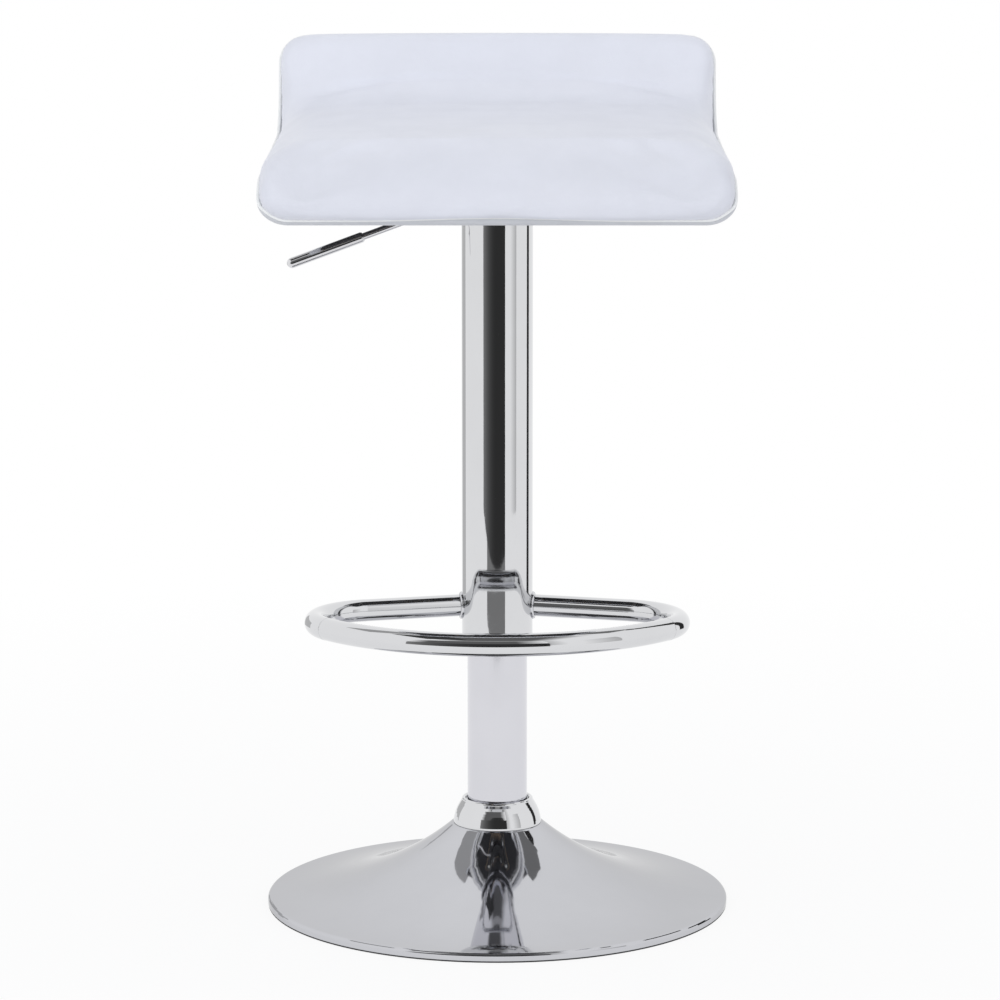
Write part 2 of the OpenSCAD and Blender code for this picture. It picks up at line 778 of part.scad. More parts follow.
module lever_pivot_pin() {
  reach = boss_w / 2 + ear_gap + ear_t + 1;
  color(STEEL) translate([-pivot_x, reach, pivot_z]) rotate([90, 0, 0])
    cylinder(r = pivot_d / 2, h = 2 * reach);
}

// Puts its children on the lever's handle: +Z runs from the pivot to the tip
module on_handle() {
  translate(pivot_pos) rotate([0, -90 - lever_slope, 0]) children();
}

module lever_rod() {
  rod_end = lever_len - grip_d / 2 - 3;
  color(CHROME) difference() {
    union() {
      on_handle() cylinder(r = lever_r, h = rod_end);
      translate(pivot_pos) rotate([0, 90 - arm_slope, 0]) {
        cylinder(r = lever_r, h = arm_len);
        translate([0, 0, arm_len]) sphere(r = lever_r);
      }
      translate([-pivot_x, boss_w / 2, pivot_z]) rotate([90, 0, 0])
        cylinder(r = boss_r, h = boss_w);
    }
    translate([-pivot_x, boss_w, pivot_z]) rotate([90, 0, 0])
      cylinder(r = pivot_d / 2 + run_gap, h = 2 * boss_w);
  }
}

// Grip with a rounded tip and a coned shoulder, pushed over the rod's end
module lever_grip() {
  r = grip_d / 2;
  cone = 1.5;
  color(CHROME) on_handle() difference() {
    translate([0, 0, lever_len - grip_len]) {
      cylinder(r1 = r - 0.8, r2 = r, h = cone);
      translate([0, 0, cone]) cylinder(r = r, h = grip_len - cone - r);
      translate([0, 0, grip_len - r]) sphere(r = r);
    }
    translate([0, 0, lever_len - grip_len - EPS])
      cylinder(r = lever_r + fit_gap, h = grip_len - r - 3 + EPS + fit_gap);
  }
}

module bolt_washers() {
  color(STEEL) at_bolts() translate([0, 0, plate_low_n - fit_gap - washer_t]) difference() {
    cylinder(r = washer_r, h = washer_t);
    translate([0, 0, -EPS]) cylinder(r = bolt_d / 2 + 0.4, h = washer_t + 2 * EPS);
  }
}

// Hex bolts that come up through the plate into the tee nuts
module seat_bolts() {
  head_n = plate_low_n - 2 * fit_gap - washer_t;
  color(STEEL) at_bolts() {
    translate([0, 0, head_n - bolt_head_h])
      cylinder(d = 1.92 * bolt_d, h = bolt_head_h, $fn = 6);
    translate([0, 0, head_n - bolt_head_h / 2])
      cylinder(r = bolt_d / 2, h = bolt_head_h / 2 - head_n - 1.5);
  }
}

module tee_nuts() {
  r = bolt_d / 2;
  color(STEEL) at_bolts() difference() {
    union() {
      translate([0, 0, -nut_len]) cylinder(r = r + nut_wall, h = nut_len - fit_gap);
      translate([0, 0, -fit_gap - nut_flange_t]) cylinder(r = nut_flange_r, h = nut_flange_t);
    }
    translate([0, 0, -nut_len - EPS]) cylinder(r = r + fit_gap, h = nut_len + 2 * EPS);
  }
}

// A sheet that follows the seat's section, between two heights above the plywood's top
module wave_sheet(n0, n1) {
  outline = concat(
    section_line(n0, sheet_overrun), reversed(section_line(n1, sheet_overrun))
  );
  on_seat() rotate([90, 0, 90]) linear_extrude(2 * seat_w, center = true) polygon(outline);
}

// The seat's outline from the front, taken in all round by inset
module seat_outline(inset) {
  w = seat_w - 2 * inset;
  h = seat_high - seat_low - 2 * inset;
  translate([0, 0, (seat_high + seat_low) / 2]) rotate([90, 0, 0])
    linear_extrude(2 * seat_w, center = true) rounded_rect(w, h, corner_r - inset);
}

module seat_core() {
  hole_r = bolt_d / 2 + nut_wall + fit_gap;
  color([0.72, 0.55, 0.36]) difference() {
    intersection() {
      wave_sheet(-core_t, 0);
      seat_outline(band_w + fit_gap);
    }
    at_bolts() {
      translate([0, 0, -core_t - EPS]) cylinder(r = hole_r, h = core_t + 2 * EPS);
      translate([0, 0, -nut_flange_t - 2 * fit_gap])
        cylinder(r = nut_flange_r + fit_gap, h = nut_flange_t + 2 * EPS);
    }
  }
}

module seat_edge_band() {
  color(LEATHER) difference() {
    intersection() {
      wave_sheet(-core_t, 0);
      seat_outline(0);
    }
    seat_outline(band_w);
  }
}

module underside_cloth() {
  low = -core_t - fit_gap - dust_t;
  margin = 2;
  color(DARK_STEEL) difference() {
    intersection() {
      wave_sheet(low, low + dust_t);
      seat_outline(dust_inset);
    }
    on_seat() translate([0, 0, 2 * low]) linear_extrude(2 * core_t)
      rounded_rect(plate_w + 2 * margin, plate_d + 2 * margin, 12 + margin);
  }
}

module seat_foam() {
  edge = 0.5;
  inset = cover_t + 2 * soft_gap + edge;
  color([0.93, 0.88, 0.70]) on_seat() between_grids(
    pad_grid(inset, soft_gap, edge), pad_grid(inset, soft_gap, -1), len(pad_rows(inset))
  );
}

module seat_cover() {
  color(LEATHER) on_seat() between_grids(
    pad_grid(0, soft_gap, 0), pad_grid(cover_t, soft_gap, 0), len(pad_rows(0))
  );
}

base_pan();
base_hub();
base_brace();
floor_ring();
neck_collar();
column_tube();
column_end_plate();
column_guide();
bearing_lower_race();
bearing_balls();
ball_cage();
bearing_upper_race();
rod_clip();
bump_stop();
piston_rod();
piston_head();
piston_ring();
pressure_tube();
rod_seal();
valve_body();
release_pin();
taper_hub();
sleeve_tube();
sleeve_bush();
footrest_tube();
seat_plate();
lever_bracket();
lever_pivot_pin();
lever_rod();
lever_grip();
seat_bolts();
bolt_washers();
tee_nuts();
seat_core();
seat_edge_band();
underside_cloth();
seat_foam();
seat_cover();
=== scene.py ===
"""Adjustable swivel stool: looks, stage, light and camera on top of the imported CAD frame."""
import math
from collections import namedtuple

import bmesh
import bpy
from mathutils import Matrix, Vector
from mathutils.bvhtree import BVHTree


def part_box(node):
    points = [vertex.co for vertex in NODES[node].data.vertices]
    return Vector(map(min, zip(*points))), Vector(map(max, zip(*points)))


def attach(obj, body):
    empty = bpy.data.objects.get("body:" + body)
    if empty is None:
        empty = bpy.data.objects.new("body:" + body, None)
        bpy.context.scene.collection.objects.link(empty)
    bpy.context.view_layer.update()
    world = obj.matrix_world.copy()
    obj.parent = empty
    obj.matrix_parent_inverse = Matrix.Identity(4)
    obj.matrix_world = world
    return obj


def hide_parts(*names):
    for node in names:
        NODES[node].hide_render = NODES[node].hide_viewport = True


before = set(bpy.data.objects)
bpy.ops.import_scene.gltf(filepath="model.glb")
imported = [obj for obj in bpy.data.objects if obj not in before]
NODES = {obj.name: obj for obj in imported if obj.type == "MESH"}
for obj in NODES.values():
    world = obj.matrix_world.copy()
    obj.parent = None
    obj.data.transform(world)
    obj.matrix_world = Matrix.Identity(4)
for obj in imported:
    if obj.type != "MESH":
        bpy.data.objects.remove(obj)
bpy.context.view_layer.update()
SCENE = bpy.context.scene
MM = 0.001

# The seat's section, with the CAD source's sizes in metres. It is drawn in the seat's tilted plane
# as (t, h): t runs back from the column's axis and h up from the plywood's top. A point on it is also
# (s, n): s runs along the plywood's top from the back's upper edge, and n is the height over it.
SEAT_W = 381 * MM
TILT = math.radians(6)
SEAT_Z = 638.57 * MM
BACK_REACH, FRONT_REACH = 139.8 * MM, 156.9 * MM
BACK_RISE, BACK_ANGLE, BACK_R = 82.7 * MM, math.radians(71), 50 * MM
FRONT_DROP, FRONT_ANGLE, FRONT_R = 32.5 * MM, math.radians(80), 38 * MM

# The section's directions, the centres of its bends, its ends, and where along it each stretch ends
BACK_DIR = Vector((math.cos(BACK_ANGLE), math.sin(BACK_ANGLE)))
BACK_NORMAL = Vector((-math.sin(BACK_ANGLE), math.cos(BACK_ANGLE)))
FRONT_DIR = Vector((-math.cos(FRONT_ANGLE), -math.sin(FRONT_ANGLE)))
FRONT_NORMAL = Vector((-math.sin(FRONT_ANGLE), math.cos(FRONT_ANGLE)))
BACK_C = Vector((BACK_REACH - BACK_R * math.tan(BACK_ANGLE / 2), BACK_R))
FRONT_C = Vector((FRONT_R * math.tan(FRONT_ANGLE / 2) - FRONT_REACH, -FRONT_R))
BACK_END = Vector((BACK_REACH, 0)) + BACK_RISE * BACK_DIR
FRONT_END = Vector((-FRONT_REACH, 0)) + FRONT_DROP * FRONT_DIR
AT_REAR_BEND = BACK_RISE - BACK_R * math.tan(BACK_ANGLE / 2)
AT_MIDDLE = AT_REAR_BEND + BACK_R * BACK_ANGLE
AT_FRONT_BEND = AT_MIDDLE + BACK_C.x - FRONT_C.x
AT_FRONT = AT_FRONT_BEND + FRONT_R * FRONT_ANGLE
SECTION = AT_FRONT + FRONT_DROP - FRONT_R * math.tan(FRONT_ANGLE / 2)

# The sewn outline's corners are a little rounder than the solid's
CORNER_R = 24.6 * MM

# The roll of the cover's side strip round the plywood's edge: its depth inward and half its height
ROLL_R, ROLL_N = 6.2 * MM, 6.5 * MM

# How far inside the outline the cushion is sewn down: at the sides, and what the waist, the front
# edge and the front edge's middle add
SIDE_INSET, WAIST_INSET = 0.3 * MM, 2.6 * MM
FRONT_INSET, FRONT_MIDDLE_INSET = 4.3 * MM, 2.3 * MM
FRONT_MIDDLE_HALF = 115 * MM

# Where along the section the waist draws in, where it lets out again, and where the front edge is
WAIST_IN = (45 * MM, AT_MIDDLE + 20 * MM)
WAIST_OUT = (AT_MIDDLE + 50 * MM, AT_FRONT_BEND)
FRONT_EDGE = (SECTION - 24 * MM, SECTION - 1.5 * MM)

# The padding's height in the back's bend, and the wider arc on which the cover bridges that bend
PAD_TOP, BRIDGE_R = 29 * MM, 66 * MM

# Steps along the outline
STRIP_STEP, STITCH_STEP, STAPLE_STEP = 3 * MM, 4.4 * MM, 22 * MM


def section_point(s, n):
    """(t, h) of the section's point (s, n)."""
    if s < AT_REAR_BEND:
        return BACK_END - s * BACK_DIR + n * BACK_NORMAL
    if s < AT_MIDDLE:
        a = BACK_ANGLE * (1 - (s - AT_REAR_BEND) / (BACK_R * BACK_ANGLE))
        return BACK_C + (BACK_R - n) * Vector((math.sin(a), -math.cos(a)))
    if s < AT_FRONT_BEND:
        return Vector((BACK_C.x - (s - AT_MIDDLE), n))
    if s < AT_FRONT:
        a = (s - AT_FRONT_BEND) / FRONT_R
        return FRONT_C + (FRONT_R + n) * Vector((-math.sin(a), math.cos(a)))
    return FRONT_END - (SECTION - s) * FRONT_DIR + n * FRONT_NORMAL


def seat_point(x, s, n):
    """The section's point (s, n) in the row frame, at x across the seat."""
    t, h = section_point(s, n)
    return Vector((
        x,
        t * math.cos(TILT) - h * math.sin(TILT),
        SEAT_Z + t * math.sin(TILT) + h * math.cos(TILT),
    ))


def section_coords(p):
    """(s, n) of a point in the row frame."""
    y, z = p.y, p.z - SEAT_Z
    t = y * math.cos(TILT) + z * math.sin(TILT)
    h = z * math.cos(TILT) - y * math.sin(TILT)
    q = Vector((t, h))
    if t > BACK_C.x:
        a = math.atan2(t - BACK_C.x, BACK_C.y - h)
        if 0 <= a <= BACK_ANGLE:
            return AT_MIDDLE - a * BACK_R, BACK_R - (q - BACK_C).length
        d = BACK_END - q
        return d.dot(BACK_DIR), -d.dot(BACK_NORMAL)
    if t < FRONT_C.x:
        a = math.atan2(FRONT_C.x - t, h - FRONT_C.y)
        if 0 <= a <= FRONT_ANGLE:
            return AT_FRONT_BEND + a * FRONT_R, (q - FRONT_C).length - FRONT_R
        d = q - FRONT_END
        return SECTION + d.dot(FRONT_DIR), d.dot(FRONT_NORMAL)
    return AT_MIDDLE + BACK_C.x - t, h


# A place on the seat's outline: its point, the way inward, and the share of the corner's turn there,
# which is None on the straight edges
Station = namedtuple("Station", "x s in_x in_s turn")


def outline(step):
    """The seat's rounded outline as stations, about a step apart."""
    half, r = SEAT_W / 2, CORNER_R
    stations = []

    def straight(a, b, inward):
        count = max(2, round((Vector(b) - Vector(a)).length / step))
        for i in range(count):
            p = Vector(a).lerp(Vector(b), i / count)
            stations.append(Station(p.x, p.y, *inward, None))

    def corner(cx, cy, start):
        count = max(6, round(r * math.pi / 2 / step))
        for i in range(count):
            a = math.radians(start + 90 * i / count)
            across, along = math.cos(a), math.sin(a)
            stations.append(Station(cx + r * across, cy + r * along, -across, -along, i / count))

    straight((half, r), (half, SECTION - r), (-1, 0))
    corner(half - r, SECTION - r, 0)
    straight((half - r, SECTION), (r - half, SECTION), (0, -1))
    corner(r - half, SECTION - r, 90)
    straight((-half, SECTION - r), (-half, r), (1, 0))
    corner(r - half, r, 180)
    straight((r - half, 0), (half - r, 0), (0, 1))
    corner(half - r, r, 270)
    return stations


def inside_point(station, inset, n, ahead=0.0):
    """The point at an inset from a station of the outline, at height n, and moved ahead along it."""
    return seat_point(
        station.x + station.in_x * inset - station.in_s * ahead,
        station.s + station.in_s * inset + station.in_x * ahead,
        n,
    )


def smooth_step(value, low, high):
    """0 below low, 1 above high, and a smooth way between."""
    t = min(1.0, max(0.0, (value - low) / (high - low)))
    return t * t * (3 - 2 * t)


def edge_coords(x, s):
    """How far (x, s) lies inside the seat's outline, and the way out across the nearest edge."""
    across = abs(x) - (SEAT_W / 2 - CORNER_R)
    along = abs(s - SECTION / 2) - (SECTION / 2 - CORNER_R)
    out_x, out_s = math.copysign(1, x), math.copysign(1, s - SECTION / 2)
    if across > 0 and along > 0:
        reach = math.hypot(across, along)
        return CORNER_R - reach, out_x * across / reach, out_s * along / reach
    if across > along:
        return CORNER_R - across, out_x, 0.0
    return CORNER_R - along, 0.0, out_s


def seam_inset(x, s):
    """How far inside the outline the cushion is sewn down."""
    waist = smooth_step(s, *WAIST_IN) * (1 - smooth_step(s, *WAIST_OUT))
    front = FRONT_INSET + FRONT_MIDDLE_INSET * (1 - smooth_step(abs(x), 0, FRONT_MIDDLE_HALF))
    return SIDE_INSET + WAIST_INSET * waist + front * smooth_step(s, *FRONT_EDGE)


def bridged(x, s):
    """How far over the bend between the seat and its back the stretched cover lies."""
    inner, half = BACK_R - PAD_TOP, BACK_ANGLE / 2
    back_off = (BRIDGE_R - inner) / math.cos(half)
    if AT_REAR_BEND < s < AT_MIDDLE:
        a = (s - AT_REAR_BEND) / BACK_R - half
        lift = inner + back_off * math.cos(a)
        lift -= math.sqrt(BRIDGE_R ** 2 - (back_off * math.sin(a)) ** 2)
    else:
        past = max(AT_REAR_BEND - s, s - AT_MIDDLE)
        reach = max(0.0, (BRIDGE_R - inner) * math.tan(half) - past)
        lift = BRIDGE_R - math.sqrt(BRIDGE_R ** 2 - reach ** 2)
    return lift * (1 - (2 * x / SEAT_W) ** 4)


def rim_height(inset):
    """The height of the side strip's roll over the plywood's top, at an inset from the outline."""
    share = (ROLL_R - inset) / ROLL_R
    return ROLL_N * (math.sqrt(1 - share * share) - 1) if inset < ROLL_R else 0.0


# ---------------------------------------------------------------- materials

def new_material(name):
    """An empty node material with a Principled shader: (material, tree, shader, object coordinates)."""
    material = bpy.data.materials.new(name)
    material.use_nodes = True
    tree = material.node_tree
    tree.nodes.clear()
    out = tree.nodes.new("ShaderNodeOutputMaterial")
    shader = tree.nodes.new("ShaderNodeBsdfPrincipled")
    tree.links.new(shader.outputs[0], out.inputs["Surface"])
    coords = tree.nodes.new("ShaderNodeTexCoord")
    return material, tree, shader, coords.outputs["Object"]


def toned(colour, factor, lift=0.0):
    """The colour made darker or lighter by a factor, plus a lift."""
    return tuple(c * factor + lift for c in colour)


def link_look(tree, shader, colour, roughness):
    """Links a colour and a roughness to the shader."""
    tree.links.new(colour, shader.inputs["Base Color"])
    tree.links.new(roughness, shader.inputs["Roughness"])


def stretched(tree, coords, scale):
    """Coordinates scaled along each axis, so that a pattern runs in lines."""
    node = tree.nodes.new("ShaderNodeMapping")
    node.inputs["Scale"].default_value = scale
    tree.links.new(coords, node.inputs["Vector"])
    return node.outputs["Vector"]


def noise(tree, coords, scale, detail=4.0, rough=0.55, distortion=0.0):
    """Clouds of noise from 0 to 1."""
    node = tree.nodes.new("ShaderNodeTexNoise")
    node.inputs["Scale"].default_value = scale
    node.inputs["Detail"].default_value = detail
    node.inputs["Roughness"].default_value = rough
    node.inputs["Distortion"].default_value = distortion
    tree.links.new(coords, node.inputs["Vector"])
    return node.outputs["Fac"]


def cells(tree, coords, scale, feature="F1", randomness=1.0):
    """Distances in a pattern of cells."""
    node = tree.nodes.new("ShaderNodeTexVoronoi")
    node.feature = feature
    node.inputs["Scale"].default_value = scale
    node.inputs["Randomness"].default_value = randomness
    tree.links.new(coords, node.inputs["Vector"])
    return node.outputs["Distance"]


def remap(tree, value, low, high, out_low=0.0, out_high=1.0):
    """The value's range from low to high, moved to a new range and clamped to it."""
    node = tree.nodes.new("ShaderNodeMapRange")
    node.inputs["From Min"].default_value = low
    node.inputs["From Max"].default_value = high
    node.inputs["To Min"].default_value = out_low
    node.inputs["To Max"].default_value = out_high
    tree.links.new(value, node.inputs["Value"])
    return node.outputs["Result"]


def math_node(tree, kind, a, b):
    """One step of arithmetic on a and b, each a number or a socket."""
    node = tree.nodes.new("ShaderNodeMath")
    node.operation = kind
    for socket, value in zip(node.inputs, (a, b)):
        if isinstance(value, (int, float)):
            socket.default_value = value
        else:
            tree.links.new(value, socket)
    return node.outputs[0]


def mixed(tree, factor, a, b):
    """A colour between a and b, each a colour tuple or a socket."""
    node = tree.nodes.new("ShaderNodeMix")
    node.data_type = "RGBA"
    tree.links.new(factor, node.inputs["Factor"])
    for socket, value in ((node.inputs[6], a), (node.inputs[7], b)):
        if isinstance(value, tuple):
            socket.default_value = (*value, 1.0)
        else:
            tree.links.new(value, socket)
    return node.outputs[2]


def bumped(tree, shader, height, strength, distance, under=None):
    """Links a bump to the shader, on top of another bump if one is given, and returns it."""
    node = tree.nodes.new("ShaderNodeBump")
    node.inputs["Strength"].default_value = strength
    node.inputs["Distance"].default_value = distance
    tree.links.new(height, node.inputs["Height"])
    if under is not None:
        tree.links.new(under, node.inputs["Normal"])
    tree.links.new(node.outputs["Normal"], shader.inputs["Normal"])
    return node.outputs["Normal"]


def chrome(name, base, rough, grain=(1, 1, 1), edge=1.0):
    """Plated steel: faint haze and smudges, lines along the grain, and plating ripple."""
    material, tree, shader, coords = new_material(name)
    shader.inputs["Metallic"].default_value = 1.0
    shader.inputs["Specular Tint"].default_value = (edge, edge, edge, 1)
    haze = remap(tree, noise(tree, coords, 9, 5, 0.6), 0.35, 0.7)
    smudge = remap(tree, noise(tree, coords, 26, 6, 0.65, 0.6), 0.52, 0.78, 0.0, 0.05)
    lines = remap(tree, noise(tree, stretched(tree, coords, grain), 700, 3), 0.3, 0.8, 0.0, 0.025)
    total = math_node(tree, "ADD", math_node(tree, "ADD", smudge, lines), rough)
    link_look(tree, shader, mixed(tree, haze, base, toned(base, 0.955)), total)
    ripple = bumped(tree, shader, noise(tree, coords, 60, 2), 0.03, 0.0004)
    bumped(tree, shader, noise(tree, stretched(tree, coords, grain), 900, 3), 0.02, 0.0001, ripple)
    return material


def bare_steel(name, base, rough, grain=(1, 1, 1)):
    """Zinc-plated or machined steel: cloudy plating over fine tool lines."""
    material, tree, shader, coords = new_material(name)
    shader.inputs["Metallic"].default_value = 1.0
    cloud = noise(tree, coords, 45, 6, 0.65)
    tint = tuple(c * t for c, t in zip(base, (1.08, 1.05, 0.92)))
    colour = mixed(tree, remap(tree, cloud, 0.35, 0.65), base, tint)
    link_look(tree, shader, colour, remap(tree, cloud, 0.3, 0.7, rough, rough + 0.16))
    bumped(tree, shader, noise(tree, stretched(tree, coords, grain), 800, 4), 0.12, 0.00012)
    return material


def powder_coat(name, base):
    """Black powder coat: orange peel, dusty patches and an uneven gloss."""
    material, tree, shader, coords = new_material(name)
    dust = remap(tree, noise(tree, coords, 30, 6, 0.7), 0.45, 0.8, 0.0, 0.5)
    gloss = remap(tree, noise(tree, coords, 12, 4), 0.3, 0.7, 0.34, 0.5)
    link_look(tree, shader, mixed(tree, dust, base, toned(base, 2.2, 0.01)), gloss)
    bumped(tree, shader, noise(tree, coords, 650, 3), 0.25, 0.0002)
    return material


def moulded(name, base, rough, scale, depth):
    """Moulded plastic or rubber: a cloudy gloss over a fine texture of the given scale and depth."""
    material, tree, shader, coords = new_material(name)
    cloud = noise(tree, coords, 55, 5)
    colour = mixed(tree, remap(tree, cloud, 0.35, 0.7), base, toned(base, 1.25, 0.004))
    link_look(tree, shader, colour, remap(tree, cloud, 0.3, 0.7, rough, rough + 0.12))
    bumped(tree, shader, noise(tree, coords, scale, 4), 0.3, depth)
    return material


def leather(name, base, rough, grain, front=0.0):
    """Coated leather cloth: pebbled cells, soft sheen, faint marks and soft folds.

    Where the seat turns down in front, it has painted shade, darker by the front share.
    """
    material, tree, shader, coords = new_material(name)
    shader.inputs["Sheen Weight"].default_value = 0.12
    shader.inputs["Sheen Roughness"].default_value = 0.4
    shader.inputs["Specular IOR Level"].default_value = 0.45
    marks = remap(tree, noise(tree, coords, 7, 6, 0.6, 0.4), 0.5, 0.75)
    soft = remap(tree, noise(tree, coords, 28, 5), 0.35, 0.7)
    warm = tuple(c * t for c, t in zip(base, (0.985, 0.98, 0.965)))
    colour = mixed(tree, soft, base, toned(base, 0.965))
    colour = mixed(tree, math_node(tree, "MULTIPLY", marks, 0.5), colour, warm)
    axes = tree.nodes.new("ShaderNodeSeparateXYZ")
    tree.links.new(coords, axes.inputs[0])
    # Painted shade: darker towards the front edge, where the seat turns down
    turned = remap(tree, axes.outputs["Y"], -120 * MM, -185 * MM, 0.0, front)
    colour = mixed(tree, turned, colour, toned(base, 0.5))
    dull = remap(tree, soft, 0, 1, rough, rough + 0.1)
    polish = math_node(tree, "MULTIPLY", marks, -0.05)
    link_look(tree, shader, colour, math_node(tree, "ADD", dull, polish))
    wander = noise(tree, coords, 160, 3)
    warped = tree.nodes.new("ShaderNodeVectorMath")
    warped.operation = "MULTIPLY_ADD"
    tree.links.new(wander, warped.inputs[0])
    warped.inputs[1].default_value = (4 * MM,) * 3
    tree.links.new(coords, warped.inputs[2])
    pebble = remap(tree, cells(tree, warped.outputs[0], 620, "DISTANCE_TO_EDGE"), 0.0, 0.35)
    fine = noise(tree, coords, 2600, 3)
    height = math_node(tree, "ADD", math_node(tree, "MULTIPLY", fine, 0.25), pebble)
    folds = bumped(tree, shader, noise(tree, coords, 18, 3, 0.5, 0.8), 0.12, 0.004)
    bumped(tree, shader, height, grain, 0.00016, folds)
    return material


def thread(name, base):
    """Spun thread: fine fibres, with painted shade between them."""
    material, tree, shader, coords = new_material(name)
    twist = noise(tree, coords, 1500, 2)
    # Painted shade between the fibres
    colour = mixed(tree, twist, base, toned(base, 0.86))
    link_look(tree, shader, colour, remap(tree, twist, 0.3, 0.7, 0.55, 0.75))
    bumped(tree, shader, twist, 0.5, 0.0002)
    return material


def plywood(name):
    """Birch plywood: long grain across the seat."""
    material, tree, shader, coords = new_material(name)
    grain = noise(tree, stretched(tree, coords, (1, 14, 14)), 14, 8, 0.6, 0.5)
    pale, brown = (0.62, 0.46, 0.29), (0.44, 0.29, 0.16)
    colour = mixed(tree, remap(tree, grain, 0.35, 0.72), pale, brown)
    link_look(tree, shader, colour, remap(tree, grain, 0.3, 0.7, 0.55, 0.72))
    bumped(tree, shader, grain, 0.3, 0.0004)
    return material


def foam(name):
    """Open foam: pale walls round pores, with painted shade in the pores."""
    material, tree, shader, coords = new_material(name)
    pores = cells(tree, coords, 900)
    pale, pore_shade = (0.86, 0.78, 0.50), (0.66, 0.56, 0.30)
    colour = mixed(tree, remap(tree, pores, 0.0, 0.7, 1, 0), pale, pore_shade)
    link_look(tree, shader, colour, remap(tree, pores, 0, 1, 0.85, 1.0))
    bumped(tree, shader, pores, 0.6, 0.0006)
    return material


def felted_cloth(name, base):
    """Thin non-woven cloth: pressed dots in a cross pattern over matted fibres."""
    material, tree, shader, coords = new_material(name)
    shader.inputs["Sheen Weight"].default_value = 0.3
    dots = cells(tree, coords, 420, "F1", 0.0)
    fibre = noise(tree, coords, 900, 6, 0.7)
    colour = mixed(tree, remap(tree, fibre, 0.35, 0.7), base, toned(base, 1.9))
    link_look(tree, shader, colour, remap(tree, fibre, 0.3, 0.7, 0.8, 0.95))
    height = math_node(tree, "ADD", remap(tree, dots, 0.1, 0.4), fibre)
    bumped(tree, shader, height, 0.5, 0.0003)
    return material


PLATE = (0.70, 0.705, 0.72)
BRIGHT_PLATE = (0.72, 0.72, 0.74)

# A grain is small along the axis in which its lines run: those of a drawn tube run up it
DRAWN = (1, 1, 0.02)

MAT = {
    # Painted shade: the pan's chrome is a darker copy of the plating, for the darker reflections on its
    # slope
    "chrome_pan_shaded": chrome("chrome_pan_shaded", (0.59, 0.595, 0.625), rough=0.035, edge=0.76),
    "chrome_sleeve": chrome("chrome_sleeve", PLATE, rough=0.025, grain=DRAWN),
    "chrome_column": chrome("chrome_column", (0.69, 0.69, 0.73), rough=0.06, grain=DRAWN),
    "chrome_trim": chrome("chrome_trim", PLATE, rough=0.03, grain=(1, 1, 0.1)),
    "chrome_foot": chrome("chrome_foot", PLATE, rough=0.03, grain=(0.2, 0.2, 1)),
    "chrome_lever": chrome("chrome_lever", BRIGHT_PLATE, rough=0.05, grain=(0.05, 1, 1)),
    "chrome_rod": chrome("chrome_rod", BRIGHT_PLATE, rough=0.04, grain=DRAWN),
    "zinc_steel": bare_steel("zinc_steel", (0.58, 0.59, 0.61), rough=0.28),
    "turned_steel": bare_steel("turned_steel", (0.55, 0.55, 0.56), rough=0.22, grain=(0.1, 0.1, 1)),
    "ball_steel": chrome("ball_steel", (0.66, 0.66, 0.67), rough=0.04),
    "weld": chrome("weld", (0.66, 0.665, 0.69), rough=0.10),
    "black_steel": powder_coat("black_steel", (0.016, 0.016, 0.018)),
    "black_tube": powder_coat("black_tube", (0.012, 0.012, 0.013)),
    "rubber": moulded("rubber", (0.022, 0.022, 0.024), rough=0.62, scale=500, depth=0.0003),
    "plastic": moulded("plastic", (0.03, 0.03, 0.033), rough=0.38, scale=900, depth=0.00015),
    "leather": leather("leather", (0.795, 0.815, 0.89), rough=0.40, grain=0.30, front=0.20),
    # The side strip is the cover's leather painted greyer, as painted shade under the seat's edge
    "strip": leather("strip", (0.61, 0.625, 0.655), rough=0.42, grain=0.28),
    # The piping is paler than the cover: partly the cord's own paler colour, partly painted highlight
    # for the lit line along the seam
    "piping": leather("piping", (0.90, 0.915, 0.91), rough=0.36, grain=0.22),
    "thread": thread("thread", (0.80, 0.81, 0.85)),
    "plywood": plywood("plywood"),
    "foam": foam("foam"),
    "dust_cloth": felted_cloth("dust_cloth", (0.014, 0.014, 0.016)),
}
NODE_MATERIALS = {
    "base_pan": "chrome_pan_shaded", "neck_collar": "chrome_trim", "column_tube": "chrome_column",
    "sleeve_tube": "chrome_sleeve", "footrest_tube": "chrome_foot", "lever_rod": "chrome_lever",
    "lever_grip": "chrome_lever", "piston_rod": "chrome_rod", "base_hub": "zinc_steel",
    "base_brace": "black_steel", "floor_ring": "rubber", "column_end_plate": "zinc_steel",
    "column_guide": "plastic", "bearing_lower_race": "turned_steel", "bearing_balls": "ball_steel",
    "ball_cage": "plastic", "bearing_upper_race": "turned_steel", "rod_clip": "zinc_steel",
    "bump_stop": "rubber", "piston_head": "turned_steel", "piston_ring": "plastic",
    "pressure_tube": "black_tube", "rod_seal": "plastic", "valve_body": "turned_steel",
    "release_pin": "turned_steel", "taper_hub": "turned_steel", "sleeve_bush": "plastic",
    "seat_plate": "black_steel", "lever_bracket": "zinc_steel", "lever_pivot_pin": "turned_steel",
    "seat_bolts": "zinc_steel", "bolt_washers": "zinc_steel", "tee_nuts": "zinc_steel",
    "seat_core": "plywood", "underside_cloth": "dust_cloth", "seat_foam": "foam",
    "seat_cover": "leather", "seat_edge_band": "leather",
}


def paint(obj, material):
    """Puts one material on the whole of obj."""
    if not obj.material_slots:
        obj.data.materials.append(material)
    for slot in obj.material_slots:
        slot.material = material


for node_name, key in NODE_MATERIALS.items():
    paint(NODES[node_name], MAT[key])


# ---------------------------------------------------------------- pieces

